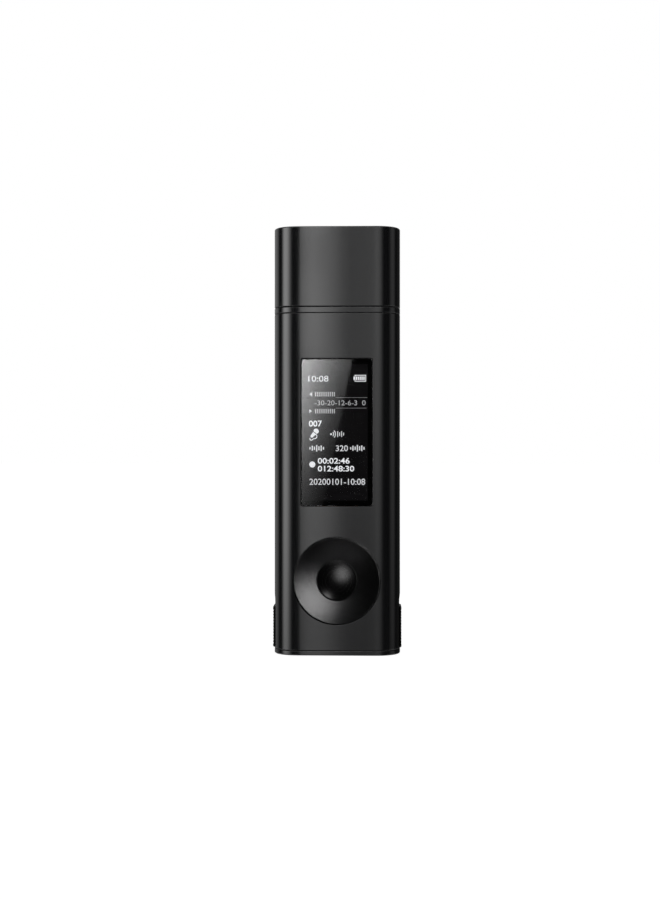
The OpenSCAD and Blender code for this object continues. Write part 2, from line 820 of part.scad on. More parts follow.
// Switch body on the back of the board, with a slot for its lever.
module switch_case() {
    d0 = board_back + eps;
    color([0.65, 0.66, 0.68]) difference() {
        block(switch_x, switch_w, d0, d0 + switch_t, switch_z0, switch_z0 + switch_l);
        block(switch_x, switch_w - 0.6, d0 + 0.3, d0 + switch_t - 0.3,
            lever_z - 1.1, lever_z + slide_travel + 1.1);
        translate([switch_x1 - 1, -0.7, lever_z - 0.7]) cube([2, 1.4, slide_travel + 1.4]);
    }
}

module left_slide() { mirror([1, 0, 0]) slide_piece(); }

module right_slide() { slide_piece(); }

module left_switch_lever() { mirror([1, 0, 0]) switch_lever(); }

module right_switch_lever() { switch_lever(); }

module left_switch_case() { mirror([1, 0, 0]) switch_case(); }

module right_switch_case() { switch_case(); }

// ---------- cap ----------

module cap_shell() {
    color([0.16, 0.16, 0.17]) difference() {
        edged_prism(body_w, body_t, corner_r, [
            [cap_z, edge_break], [cap_z + edge_break, 0],
            [total_l - cap_chamfer, 0], [total_l, cap_chamfer]
        ]);
        prism(cap_bore_w, cap_bore_t, cap_bore_r, cap_z - 1, total_l - cap_top);
    }
}

module cap_liner() {
    top = total_l - cap_top - fit;
    color([0.08, 0.08, 0.09]) difference() {
        prism(cap_bore_w - 2 * fit, cap_bore_t - 2 * fit, cap_bore_r - fit, cap_z + 0.15, top);
        prism(liner_bore_w, liner_bore_t, liner_bore_r, cap_z - 1, top - 0.8);
    }
}

// ---------- assembly ----------

body_shell();
bottom_plate();
bottom_screws();
collar_ring();
neck_frame();
usb_plug_shell();
usb_tongue();
usb_contacts();
screen_lens();
lens_mask();
lens_adhesive();
display_panel();
display_backlight();
display_flex();
flex_connector();
upper_chassis();
lower_frame();
main_board();
board_screws();
processor_chip();
memory_chip();
audio_chip();
clock_crystal();
small_parts();
battery_cell();
battery_board();
battery_wires();
speaker_frame();
speaker_cone();
speaker_gasket();
speaker_mesh();
speaker_wires();
left_microphone();
right_microphone();
left_mic_boot();
right_mic_boot();
headphone_socket();
socket_contacts();
key_frame();
key_domes();
left_switch_case();
right_switch_case();
rocker_cross();
nav_ring();
centre_button();
left_slide();
left_switch_lever();
right_slide();
right_switch_lever();
cap_shell();
cap_liner();
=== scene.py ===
"""Looks of the pocket stick recorder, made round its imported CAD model.

Lengths are in millimetres in the model's frame (+Z up, front facing -Y) and become metres when a mesh is
made. Angles are in degrees. Azimuth 0 points from the object towards the camera, and positive azimuth is
towards +X.
"""

import json
import math

import bmesh
import bpy
import numpy as np
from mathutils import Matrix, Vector


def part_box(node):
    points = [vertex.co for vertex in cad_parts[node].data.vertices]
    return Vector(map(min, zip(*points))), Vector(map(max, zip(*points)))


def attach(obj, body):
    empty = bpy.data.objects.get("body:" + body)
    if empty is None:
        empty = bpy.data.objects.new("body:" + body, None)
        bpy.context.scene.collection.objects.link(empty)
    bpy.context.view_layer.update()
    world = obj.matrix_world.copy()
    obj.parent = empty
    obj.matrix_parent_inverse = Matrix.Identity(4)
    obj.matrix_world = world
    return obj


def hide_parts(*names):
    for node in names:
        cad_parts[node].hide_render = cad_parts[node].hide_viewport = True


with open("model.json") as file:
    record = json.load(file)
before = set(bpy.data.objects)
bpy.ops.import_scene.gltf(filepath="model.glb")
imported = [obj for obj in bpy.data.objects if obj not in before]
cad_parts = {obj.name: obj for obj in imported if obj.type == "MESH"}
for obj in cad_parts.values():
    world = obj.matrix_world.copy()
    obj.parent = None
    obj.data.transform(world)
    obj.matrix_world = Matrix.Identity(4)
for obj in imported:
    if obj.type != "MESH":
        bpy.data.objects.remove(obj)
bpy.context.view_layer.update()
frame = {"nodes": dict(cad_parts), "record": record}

MM = 0.001


def box_mm(node):
    """Lowest and highest corners of a CAD node, in millimetres."""
    low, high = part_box(node)
    return low / MM, high / MM


# ---------- sizes, read from the frame where it has them ----------

TUBE_LOW, TUBE_HIGH = box_mm("body_shell")
COLLAR_LOW, COLLAR_HIGH = box_mm("collar_ring")
CAP_LOW, CAP_HIGH = box_mm("cap_shell")
LENS_LOW, LENS_HIGH = box_mm("screen_lens")
RING_LOW, RING_HIGH = box_mm("nav_ring")
SLIDE_LOW, SLIDE_HIGH = box_mm("right_slide")
PANEL_LOW = box_mm("display_panel")[0]
MIC_LOW, MIC_HIGH = box_mm("right_microphone")
SPEAKER_LOW, SPEAKER_HIGH = box_mm("speaker_mesh")
SOCKET_LOW, SOCKET_HIGH = box_mm("headphone_socket")
SCREWS_LOW, SCREWS_HIGH = box_mm("bottom_screws")

HALF_W = TUBE_HIGH.x
HALF_T = TUBE_HIGH.y
FRONT = -HALF_T
WALL = 1.0
CORNER_REACH = 6.7  # where the eased corner leaves the flat, measured from the edge
CORNER_EASE = 0.27  # share of the corner over which its curvature rises, and over which it falls
CORNER_STEPS = 36
EDGE_R = 0.14  # rounding of the ends of tube, collar and cap
CAP_EDGE_R = 0.32
CAP_WALL = 1.1
CAP_TOP = 1.4
PLATE_TOP = 1.1
PLATE_EDGE_R = 0.3
COLLAR_WALL = 2.35

MIDDLE_Z = CAP_HIGH.z / 2

SCREEN_Z = (LENS_LOW.z + LENS_HIGH.z) / 2
LENS_GAP = 0.14
WINDOW_R = 0.6
RIM_R = 0.15  # rounding of the edges round window, ring and slots

DIAL_Z = (RING_LOW.z + RING_HIGH.z) / 2
DIAL_HOLE_R = 10.25
RING_R = 10.05
RING_BORE_R = 4.78
RING_RIM_DEPTH = 0.05
DISH_R = 32.0
RING_BASE = 2.1
FLANGE_R = RING_HIGH.x
FLANGE_TOP = 1.55
PIVOT_DEPTH = 3.35

BUTTON_R = 4.6
BUTTON_TOP = 0.02
DOME_R = 10.0
BUTTON_EDGE_R = 0.28

SLOT_W = 6.2
SLOT_TOP = 14.3
SLOT_R = 2.2
SLIDE_W = 5.8
SLIDE_ROOT = HALF_W - 1.75
RIB_PITCH = 0.7
RIB_DEPTH = 0.17


# ---------- mesh building ----------


class Place:
    """A local frame: at(a, b, h) is a point a along u, b along v and h along w from the origin."""

    def __init__(self, origin, u, v, w):
        self.origin, self.u, self.v, self.w = (Vector(x) for x in (origin, u, v, w))

    def at(self, a, b, h):
        return self.origin + a * self.u + b * self.v + h * self.w


def on_front(z):
    """Place on the front face: a to the right, b up, h out of the face."""
    return Place((0, FRONT, z), (1, 0, 0), (0, 0, 1), (0, -1, 0))


def on_back(x, z):
    return Place((x, HALF_T, z), (-1, 0, 0), (0, 0, 1), (0, 1, 0))


def on_side(side, z):
    """Place on the right (side 1) or left (side -1) face."""
    return Place((side * HALF_W, 0, z), (0, side, 0), (0, 0, 1), (side, 0, 0))


def on_bottom(x, y):
    return Place((x, y, 0), (1, 0, 0), (0, -1, 0), (0, 0, -1))


def mesh_object(name, points, faces):
    """Object from points in millimetres, with its faces turned outward."""
    mesh = bpy.data.meshes.new(name)
    mesh.from_pydata([tuple(Vector(p) * MM) for p in points], [], faces)
    bm = bmesh.new()
    bm.from_mesh(mesh)
    bmesh.ops.recalc_face_normals(bm, faces=bm.faces)
    bm.to_mesh(mesh)
    bm.free()
    obj = bpy.data.objects.new(name, mesh)
    bpy.context.scene.collection.objects.link(obj)
    return obj


def loft(name, rings, closed=False):
    """Skin over rings of points. closed joins the last ring to the first, and otherwise both ends are
    filled."""
    count = len(rings[0])
    points = [p for ring in rings for p in ring]
    faces = []
    for i in range(len(rings) if closed else len(rings) - 1):
        low, high = i * count, (i + 1) % len(rings) * count
        for j in range(count):
            k = (j + 1) % count
            faces.append((low + j, low + k, high + k, high + j))
    if not closed:
        faces.append(tuple(range(count)))
        faces.append(tuple(range(len(points) - count, len(points))))
    return mesh_object(name, points, faces)


def circle(radius, segments):
    """Points of a circle as (a, b)."""
    turn = [2 * math.pi * i / segments for i in range(segments)]
    return [(radius * math.cos(t), radius * math.sin(t)) for t in turn]


def lathe(name, place, profile, segments=192, closed=False):
    """Turned solid: profile is a list of (radius, height)."""
    rings = [[place.at(a, b, h) for a, b in circle(r, segments)] for r, h in profile]
    return loft(name, rings, closed)


def arc(centre, radius, start, end, steps=6):
    """Points of an arc as (a, b), from the start angle to the end angle."""
    turn = [math.radians(start + (end - start) * i / steps) for i in range(steps + 1)]
    return [(centre[0] + radius * math.cos(t), centre[1] + radius * math.sin(t)) for t in turn]


def round_rect(width, height, radius, steps=8):
    """Outline of a rectangle with rounded corners, centred, as (a, b)."""
    a, b = width / 2 - radius, height / 2 - radius
    return [
        p
        for i, (x, y) in enumerate([(a, b), (-a, b), (-a, -b), (a, -b)])
        for p in arc((x, y), radius, 90 * i, 90 * i + 90, steps)
    ]


def flare(depth, radius, steps=5):
    """(growth, height) down the wall of a cutter whose mouth leaves a rounded edge at height 0."""
    lift = 0.01
    turn = [math.radians(90 * i / steps) for i in range(steps + 1)]
    rim = [
        (radius * (1 - math.cos(t)), -radius * (1 - math.sin(t)) + lift * i / steps)
        for i, t in enumerate(turn)
    ]
    return [(0, -depth)] + rim + [(radius + 0.1, 0.5)]


def round_cutter(place, radius, depth, rim, segments=48):
    return lathe("cutter", place, [(radius + g, h) for g, h in flare(depth, rim)], segments)


def rect_cutter(place, width, height, radius, depth, rim):
    rings = [
        [place.at(a, b, h) for a, b in round_rect(width + 2 * g, height + 2 * g, radius + g)]
        for g, h in flare(depth, rim)
    ]
    return loft("cutter", rings)


def block(low, high):
    """Box between two corners."""
    ring = [(low[0], low[1]), (high[0], low[1]), (high[0], high[1]), (low[0], high[1])]
    return loft("block", [[(x, y, z) for x, y in ring] for z in (low[2], high[2])])


def combine(obj, tools, operation):
    """Cuts the tools from obj (DIFFERENCE) or joins them on (UNION), and removes them."""
    for tool in tools:
        step = obj.modifiers.new("combine", "BOOLEAN")
        step.operation = operation
        step.solver = "EXACT"
        step.object = tool
    bake(obj)
    for tool in tools:
        bpy.data.objects.remove(tool)


def joined(objects):
    """One object from several that don't touch."""
    first = objects[0]
    bm = bmesh.new()
    for o in objects:
        bm.from_mesh(o.data)
    made = bpy.data.meshes.new(first.name)
    bm.to_mesh(made)
    bm.free()
    first.data = made
    for o in objects[1:]:
        bpy.data.objects.remove(o)
    return first


# ---------- the rounded section of the tube ----------


def corner():
    """Points and outward normals of the front right corner, whose curvature rises and falls evenly."""
    fine = 20  # steps of the sum between two points of the corner
    steps = CORNER_STEPS * fine
    share = (np.arange(steps) + 0.5) / steps
    bend = np.minimum(1, np.minimum(share, 1 - share) / CORNER_EASE)
    bend *= math.pi / 2 / bend.sum()
    heading = np.concatenate([[0], np.cumsum(bend)])
    middle = (heading[1:] + heading[:-1]) / 2
    x = np.concatenate([[0], np.cumsum(np.cos(middle))])
    y = np.concatenate([[0], np.cumsum(np.sin(middle))])
    size = CORNER_REACH / x[-1]
    pick = slice(0, steps + 1, fine)
    points = np.stack([HALF_W - CORNER_REACH + size * x[pick], FRONT + size * y[pick]], 1)
    normals = np.stack([np.sin(heading[pick]), -np.cos(heading[pick])], 1)
    return points, normals


def section():
    """Points and outward normals round the whole section, anticlockwise from the front right corner."""
    points, normals = corner()
    turns = [((1, 1), 1), ((1, -1), -1), ((-1, -1), 1), ((-1, 1), -1)]
    return tuple(
        np.concatenate([part[::step] * flip for flip, step in turns]) for part in (points, normals)
    )


SECTION, SECTION_NORMALS = section()


def section_rings(steps):
    """Rings of the section for a list of (height, inset)."""
    return [
        [(x, y, z) for x, y in SECTION - SECTION_NORMALS * inset] for z, inset in steps
    ]


def end_rounding(z, radius, up, steps=5):
    """(height, inset) along a rounded end, upward. up is 1 at a top and -1 at a foot."""
    turn = [math.radians(90 * i / steps) for i in range(steps + 1)]
    made = [
        (z - up * radius * (1 - math.sin(t)), radius * (1 - math.cos(t))) for t in turn
    ]
    return made if up > 0 else made[::-1]


def bake(obj):
    """Replaces obj's mesh by what its modifiers make of it, and drops them."""
    graph = bpy.context.evaluated_depsgraph_get()
    made = bpy.data.meshes.new_from_object(obj.evaluated_get(graph))
    obj.modifiers.clear()
    obj.data = made


def shade(obj, skin=None, angle=33):
    """Smooth shading with sharp edges over an angle, where large faces stay flat next to small rounded
    ones. skin is the (low, high) heights between which the outside takes the section's exact normals."""
    bm = bmesh.new()
    bm.from_mesh(obj.data)
    bmesh.ops.dissolve_degenerate(bm, dist=1e-8, edges=bm.edges)
    limit = math.radians(angle)
    for f in bm.faces:
        f.smooth = True
    for e in bm.edges:
        e.smooth = len(e.link_faces) == 2 and e.calc_face_angle(0) < limit
    bm.to_mesh(obj.data)
    bm.free()
    step = obj.modifiers.new("normals", "WEIGHTED_NORMAL")
    step.mode = "FACE_AREA"
    step.keep_sharp = True
    bake(obj)
    if skin:
        set_skin_normals(obj.data, skin, limit)
    return obj


def set_skin_normals(mesh, skin, limit):
    """Gives the corners on the outside of the section its exact normals."""
    normals = np.zeros(len(mesh.loops) * 3, np.float32)
    mesh.corner_normals.foreach_get("vector", normals)
    normals = normals.reshape(-1, 3)
    where = np.zeros(len(mesh.loops), np.int32)
    mesh.loops.foreach_get("vertex_index", where)
    exact, on_skin = skin_normals(np.array([v.co for v in mesh.vertices]) / MM, *skin)
    of_face = np.concatenate(
        [np.repeat([list(f.normal)], len(f.loop_indices), 0) for f in mesh.polygons]
    )
    wanted = exact[where]
    use = on_skin[where] & ((of_face * wanted).sum(1) > math.cos(limit))
    normals[use] = wanted[use]
    mesh.normals_split_custom_set([tuple(n) for n in normals.astype(float)])


def skin_normals(places, low, high):
    """The section's normal at each place, and whether the place is on the outside between two heights."""
    start, end = SECTION, np.roll(SECTION, -1, 0)
    along = end - start
    offset = places[:, None, :2] - start[None]
    t = np.clip((offset * along).sum(2) / (along**2).sum(1), 0, 1)
    gap = np.linalg.norm(offset - t[..., None] * along, axis=2)
    nearest = gap.argmin(1)
    t = t[np.arange(len(places)), nearest][:, None]
    flat = SECTION_NORMALS[nearest] * (1 - t) + np.roll(SECTION_NORMALS, -1, 0)[nearest] * t
    flat /= np.linalg.norm(flat, axis=1)[:, None]
    close = gap.min(1) < 0.003
    level = (places[:, 2] > low - 0.001) & (places[:, 2] < high + 0.001)
    return np.concatenate([flat, np.zeros((len(places), 1))], 1), close & level


def piece(obj, name, body, slot, *nodes, material=None):
    """Names a new piece, gives it a finish, and lets it ride on a body in place of CAD nodes. The finish
    is that of its slot unless a material is given."""
    obj.name = name
    obj.data.name = name
    obj.data.materials.clear()
    obj.data.materials.append(material or MATERIALS[slot])
    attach(obj, body)
    if nodes:
        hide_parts(*nodes)
    return obj


# ---------- materials ----------


class Finish:
    """A Principled material under construction; add() makes a node and sets or links its inputs."""

    def __init__(self, name, **sockets):
        self.material = bpy.data.materials.new(name)
        self.material.use_nodes = True
        self.tree = self.material.node_tree
        self.tree.nodes.clear()
        self.shader = self.add("ShaderNodeBsdfPrincipled")
        output = self.add("ShaderNodeOutputMaterial")
        self.tree.links.new(self.shader.outputs[0], output.inputs["Surface"])
        self.place = self.add("ShaderNodeTexCoord").outputs["Object"]
        for socket, value in sockets.items():
            self.set(socket.replace("_", " ").title().replace("Ior", "IOR"), value)

    def add(self, kind, inputs=None, **settings):
        node = self.tree.nodes.new(kind)
        for key, value in settings.items():
            setattr(node, key, value)
        for key, value in (inputs or {}).items():
            self.feed(node.inputs[key], value)
        return node

    def feed(self, socket, value):
        if isinstance(value, bpy.types.NodeSocket):
            self.tree.links.new(value, socket)
        elif socket.type == "RGBA":
            socket.default_value = (*value[:3], 1.0)
        else:
            socket.default_value = value

    def set(self, socket, value):
        self.feed(self.shader.inputs[socket], value)

    def stretched(self, scale):
        """Object coordinates scaled along each axis."""
        return self.add("ShaderNodeMapping", {"Vector": self.place, "Scale": scale}).outputs[0]

    def noise(self, size, detail=3.0, roughness=0.5, stretch=(1, 1, 1)):
        """Noise whose grains are about size millimetres across, longer along an axis by its stretch."""
        scale = tuple(1 / (size * MM * s) for s in stretch)
        inputs = {"Vector": self.stretched(scale), "Scale": 1.0}
        inputs |= {"Detail": detail, "Roughness": roughness}
        return self.add("ShaderNodeTexNoise", inputs).outputs["Fac"]

    def ramp(self, value, low, high, start=0.3, end=0.7):
        """Value that goes from low to high while the given one goes from start to end."""
        inputs = {"Value": value, "From Min": start, "From Max": end, "To Min": low, "To Max": high}
        return self.add("ShaderNodeMapRange", inputs).outputs[0]

    def blend(self, share, a, b):
        """Colour between a and b."""
        node = self.add("ShaderNodeMix", data_type="RGBA")
        for socket, value in ((node.inputs[0], share), (node.inputs[6], a), (node.inputs[7], b)):
            self.feed(socket, value)
        return node.outputs[2]

    def fold(self, *values, kind="ADD"):
        """Values put together one after another by a Math operation."""
        total = values[0]
        for value in values[1:]:
            total = self.add("ShaderNodeMath", {0: total, 1: value}, operation=kind).outputs[0]
        return total

    def bump(self, height, depth):
        """Bump whose height of 1 is depth micrometres."""
        inputs = {"Height": height, "Distance": depth * 1e-6}
        self.set("Normal", self.add("ShaderNodeBump", inputs).outputs[0])


def grainy(name, dark, light, rough, grain, depth, metallic=0.0, stretch=(1, 1, 1), **sockets):
    """Finish with a fine grain: colour between dark and light, roughness between two values."""
    f = Finish(name, metallic=metallic, **sockets)
    fine = f.noise(grain, 4.0, 0.6, stretch)
    cloud = f.noise(grain * 25, 2.0)
    f.set("Base Color", f.blend(f.ramp(cloud, 0.0, 1.0), dark, light))
    f.set("Roughness", f.ramp(f.fold(fine, cloud), *rough, 0.7, 1.3))
    f.bump(fine, depth)
    return f.material


def anodised():
    """Black anodised aluminium: a fine even grain, faint marks drawn along the tube, and slow smudges."""
    f = Finish("anodised_black", ior=1.6)
    grain = f.noise(0.09, 4.0, 0.6)
    drawn = f.noise(0.22, 3.0, 0.55, (1, 1, 120))
    smudge = f.noise(9.0, 2.0, 0.5, (1, 1, 2.2))
    dark, light = (0.0032, 0.0033, 0.0037), (0.0055, 0.0056, 0.006)
    f.set("Base Color", f.blend(f.ramp(drawn, 0.0, 1.0), dark, light))
    parts = (f.ramp(grain, -0.012, 0.012), f.ramp(drawn, -0.012, 0.012), f.ramp(smudge, 0.125, 0.15))
    f.set("Roughness", f.fold(*parts))
    f.bump(f.fold(f.fold(grain, 0.5, kind="MULTIPLY"), drawn), 1.6)
    return f.material


def satin_dial(name, rough, marks):
    """Satin black of the ring and button: very faint turned marks round the dial's axis, over a grain."""
    f = Finish(name, ior=1.52)
    parts = f.add("ShaderNodeSeparateXYZ", {"Vector": f.place})
    up = f.fold(parts.outputs["Z"], DIAL_Z * MM, kind="SUBTRACT")
    flat = f.add("ShaderNodeCombineXYZ", {"X": parts.outputs["X"], "Y": up})
    radius = f.add("ShaderNodeVectorMath", {0: flat.outputs[0]}, operation="LENGTH").outputs["Value"]
    line = f.add("ShaderNodeCombineXYZ", {"X": radius})
    inputs = {"Vector": line.outputs[0], "Scale": 1 / (0.3 * MM), "Detail": 2.0}
    turned = f.add("ShaderNodeTexNoise", inputs).outputs["Fac"]
    grain = f.noise(0.08, 4.0, 0.6)
    cloud = f.noise(2.5, 2.0)
    dark, light = (0.0014, 0.0014, 0.0016), (0.0026, 0.0026, 0.0029)
    f.set("Base Color", f.blend(f.ramp(cloud, 0.0, 1.0), dark, light))
    f.set("Roughness", f.fold(f.ramp(grain, -0.015, 0.015), f.ramp(turned, rough - 0.012, rough + 0.012)))
    f.bump(f.fold(grain, f.fold(turned, marks, kind="MULTIPLY")), 1.0)
    return f.material


def glass():
    """The clear lens, with faint marks from fingers in its gloss."""
    f = Finish("lens_clear", transmission_weight=1.0, ior=1.5, base_color=(0.96, 0.965, 0.97))
    f.set("Roughness", f.ramp(f.noise(4.0, 3.0), 0.02, 0.04, 0.4, 0.7))
    return f.material


def lit_panel():
    """The display's own surface, which glows a little where it is switched on."""
    f = Finish("display_surface", roughness=0.35, specular_ior_level=0.05, emission_strength=1.0)
    cloud = f.noise(8.0, 1.0)
    f.set("Base Color", f.blend(cloud, (0.002, 0.002, 0.002), (0.003, 0.003, 0.003)))
    f.set("Emission Color", f.blend(cloud, (0.0034, 0.0031, 0.0035), (0.0042, 0.0039, 0.0043)))
    return f.material


def lit_mark(name, level):
    """Light of the display's figures, in fine rows of dots."""
    f = Finish(name, roughness=0.5, emission_strength=level)
    row = 0.11 * MM
    inputs = {"Vector": f.place, "Scale": 1 / row / 20}
    dots = f.add("ShaderNodeTexWave", inputs, bands_direction="Z")
    f.set("Base Color", f.blend(dots.outputs["Fac"], (0.3, 0.3, 0.3), (0.4, 0.4, 0.4)))
    f.set("Emission Color", f.blend(dots.outputs["Fac"], (0.86, 0.87, 0.9), (0.97, 0.98, 1.0)))
    return f.material


def woven(name, colour, pitch):
    """Fine woven mesh."""
    f = Finish(name, roughness=0.7)
    inputs = {"Vector": f.place, "Scale": 0.31 / (pitch * MM)}
    waves = [f.add("ShaderNodeTexWave", inputs, bands_direction=way) for way in "XZ"]
    threads = f.fold(*(w.outputs["Fac"] for w in waves), kind="MAXIMUM")
    f.set("Base Color", f.blend(threads, (0.001, 0.001, 0.001), colour))
    f.bump(threads, 40)
    return f.material


def grey(level):
    return (level, level, level)


MATERIALS = {
    "anodised_case": anodised(),
    "ring_black": satin_dial("dial_satin", 0.24, 0.5),
    "slide_black": grainy(
        "slide_plastic", grey(0.002), grey(0.004), (0.42, 0.52), 0.07, 6, specular_ior_level=0.1
    ),
    "frame_black": grainy("moulded_black", grey(0.012), grey(0.02), (0.38, 0.5), 0.12, 8),
    "frame_grey": grainy("moulded_grey", grey(0.05), grey(0.07), (0.45, 0.6), 0.15, 8),
    "plug_steel": grainy("plug_nickel", grey(0.62), grey(0.66), (0.22, 0.3), 0.06, 0.4, 1.0, (1, 1, 8)),
    "screw_steel": grainy("screw_blackened", grey(0.06), grey(0.1), (0.3, 0.42), 0.05, 2, 1.0),
    "bright_steel": grainy("bright_metal", grey(0.6), grey(0.68), (0.22, 0.34), 0.08, 2, 1.0),
    "plug_white": grainy("tongue_white", grey(0.72), grey(0.78), (0.35, 0.45), 0.1, 3),
    "contact_gold": grainy("gold_plate", (0.75, 0.5, 0.16), (0.85, 0.6, 0.25), (0.15, 0.3), 0.05, 1, 1.0),
    "lens_glass": glass(),
    "lens_ink": grainy(
        "lens_print", grey(0.0006), grey(0.001), (0.5, 0.6), 0.1, 1, specular_ior_level=0.0
    ),
    "foam_tape": grainy("foam_black", grey(0.02), grey(0.035), (0.8, 0.95), 0.15, 40),
    "display_black": lit_panel(),
    "flex_film": grainy("film_brown", (0.1, 0.045, 0.012), (0.14, 0.065, 0.018), (0.3, 0.4), 0.2, 2),
    "socket_cream": grainy("socket_nylon", (0.7, 0.66, 0.55), (0.78, 0.74, 0.62), (0.4, 0.5), 0.1, 4),
    "board_green": grainy("solder_mask", (0.008, 0.06, 0.025), (0.012, 0.09, 0.04), (0.25, 0.4), 0.3, 6),
    "board_blue": grainy(
        "battery_board_mask", (0.01, 0.06, 0.12), (0.015, 0.09, 0.16), (0.25, 0.4), 0.3, 6
    ),
    "chip_black": grainy("chip_resin", grey(0.015), grey(0.025), (0.5, 0.65), 0.06, 4),
    "crystal_can": grainy("can_metal", grey(0.55), grey(0.65), (0.2, 0.3), 0.07, 1.5, 1.0),
    "small_part_tan": grainy("ceramic_tan", (0.35, 0.24, 0.14), (0.45, 0.32, 0.2), (0.4, 0.5), 0.05, 2),
    "cell_silver": grainy("cell_pouch", grey(0.5), grey(0.6), (0.3, 0.5), 0.5, 20, 0.9),
    "wire_red": grainy("wire_sheath", (0.45, 0.02, 0.02), (0.55, 0.03, 0.03), (0.4, 0.5), 0.1, 3),
    "cone_paper": grainy("cone_pulp", (0.3, 0.28, 0.24), (0.4, 0.38, 0.33), (0.8, 0.95), 0.15, 30),
    "mesh_black": woven("speaker_weave", (0.02, 0.02, 0.02), 0.12),
    "rubber_black": grainy("rubber", grey(0.015), grey(0.022), (0.7, 0.85), 0.15, 10),
    "lever_white": grainy("lever_nylon", grey(0.65), grey(0.72), (0.4, 0.5), 0.08, 3),
}
BUTTON_SATIN = satin_dial("button_satin", 0.26, 0.2)


# ---------- case, collar, end plate and cap ----------


def slot_cutters():
    """Openings for the two slides, open at the foot of the tube."""
    depth, rim = 3.0, 0.1
    foot = TUBE_LOW.z - 1
    half = SLOT_W / 2 - SLOT_R
    outline = [(-SLOT_W / 2, foot), (SLOT_W / 2, foot)]
    outline += arc((half, SLOT_TOP - SLOT_R), SLOT_R, 0, 90, 12)
    outline += arc((-half, SLOT_TOP - SLOT_R), SLOT_R, 90, 180, 12)

    def grown(a, b, by):
        """Point of the outline moved outward. The foot stays at its height."""
        return a + math.copysign(by, a), b + (by if b > foot else 0)

    made = []
    for side in (-1, 1):
        place = on_side(side, 0)
        rings = [
            [place.at(*grown(a, b, g), h) for a, b in outline] for g, h in flare(depth, rim)
        ]
        made.append(loft("cutter", rings))
    return made


def sound_hole_cutters():
    """Microphone holes in each side and loudspeaker holes in the back."""
    mic_z = (MIC_LOW.z + MIC_HIGH.z) / 2
    speaker_z = (SPEAKER_LOW.z + SPEAKER_HIGH.z) / 2
    mic_pitch, mic_r = 1.4, 0.4
    speaker_pitch, speaker_r = 1.7, 0.45
    depth, rim = WALL + 0.8, 0.06
    places = [(on_side(side, mic_z + i * mic_pitch), mic_r) for side in (-1, 1) for i in (-1, 0, 1)]
    places += [
        (on_back(i * speaker_pitch, speaker_z + j * speaker_pitch), speaker_r)
        for i in range(-3, 4)
        for j in (-1, 0, 1)
    ]
    return [round_cutter(place, radius, depth, rim) for place, radius in places]


def case_tube():
    low, high = TUBE_LOW.z, TUBE_HIGH.z
    steps = end_rounding(low, EDGE_R, -1) + end_rounding(high, EDGE_R, 1)
    steps += [(high, WALL), (low, WALL)]
    obj = loft("case_tube", section_rings(steps), closed=True)
    depth = WALL + 1.5
    width = LENS_HIGH.x - LENS_LOW.x + 2 * LENS_GAP
    tall = LENS_HIGH.z - LENS_LOW.z + 2 * LENS_GAP
    window = rect_cutter(on_front(SCREEN_Z), width, tall, WINDOW_R, depth, RIM_R)
    dial = round_cutter(on_front(DIAL_Z), DIAL_HOLE_R, depth, RIM_R, 192)
    combine(obj, [joined([window, dial, *sound_hole_cutters()]), *slot_cutters()], "DIFFERENCE")
    shade(obj, (low + EDGE_R, high - EDGE_R))
    return piece(obj, "case_tube", "case", "anodised_case", "body_shell")


def collar_band():
    low, high = COLLAR_LOW.z, COLLAR_HIGH.z
    steps = end_rounding(low, EDGE_R, -1) + end_rounding(high, EDGE_R, 1)
    steps += [(high, COLLAR_WALL), (low, COLLAR_WALL)]
    obj = shade(loft("collar_band", section_rings(steps), closed=True), (low + EDGE_R, high - EDGE_R))
    return piece(obj, "collar_band", "case", "anodised_case", "collar_ring")


def cap_tube():
    low, high = CAP_LOW.z, CAP_HIGH.z
    steps = [(high - CAP_TOP, CAP_WALL), (low, CAP_WALL)]
    steps += end_rounding(low, EDGE_R, -1) + end_rounding(high, CAP_EDGE_R, 1)
    obj = shade(loft("cap_tube", section_rings(steps)), (low + EDGE_R, high - CAP_EDGE_R))
    return piece(obj, "cap_tube", "cap", "anodised_case", "cap_shell")


def end_plate():
    steps = end_rounding(0, PLATE_EDGE_R, -1) + end_rounding(PLATE_TOP, EDGE_R, 1)
    obj = loft("end_plate", section_rings(steps))
    boss_w, boss_t, boss_r, boss_top = 21, 10.6, 2.5, 2.2
    outline = round_rect(boss_w, boss_t, boss_r)
    boss = loft("boss", [[(a, b, z) for a, b in outline] for z in (PLATE_TOP - 0.4, boss_top)])
    combine(obj, [boss], "UNION")
    socket_y = (SOCKET_LOW.y + SOCKET_HIGH.y) / 2
    mouth_r, seat_r, through = 2.15, 2.7, 4
    mouth = round_cutter(on_bottom(0, socket_y), mouth_r, through, 0.3, 96)
    seat = lathe("cutter", on_bottom(0, socket_y), [(seat_r, -through), (seat_r, -PLATE_TOP)], 96)
    tools = [mouth, seat]
    screw_r, head_r, head_depth, hole_r = 1.2, 1.35, 0.9, 0.8
    screw_y = (SCREWS_LOW.y + SCREWS_HIGH.y) / 2
    for side in (-1, 1):
        place = on_bottom(side * (SCREWS_HIGH.x - screw_r), screw_y)
        tools.append(round_cutter(place, head_r, head_depth, 0.12))
        tools.append(lathe("cutter", place, [(hole_r, -through), (hole_r, -0.5)], 48))
    combine(obj, tools, "DIFFERENCE")
    shade(obj, (PLATE_EDGE_R, PLATE_TOP - EDGE_R))
    return piece(obj, "end_plate", "case", "anodised_case", "bottom_plate")


# ---------- ring, button and slides ----------


def dish_depth(radius):
    """Depth of the ring's dished face at a radius."""
    return RING_RIM_DEPTH + math.sqrt(DISH_R**2 - radius**2) - math.sqrt(DISH_R**2 - RING_R**2)


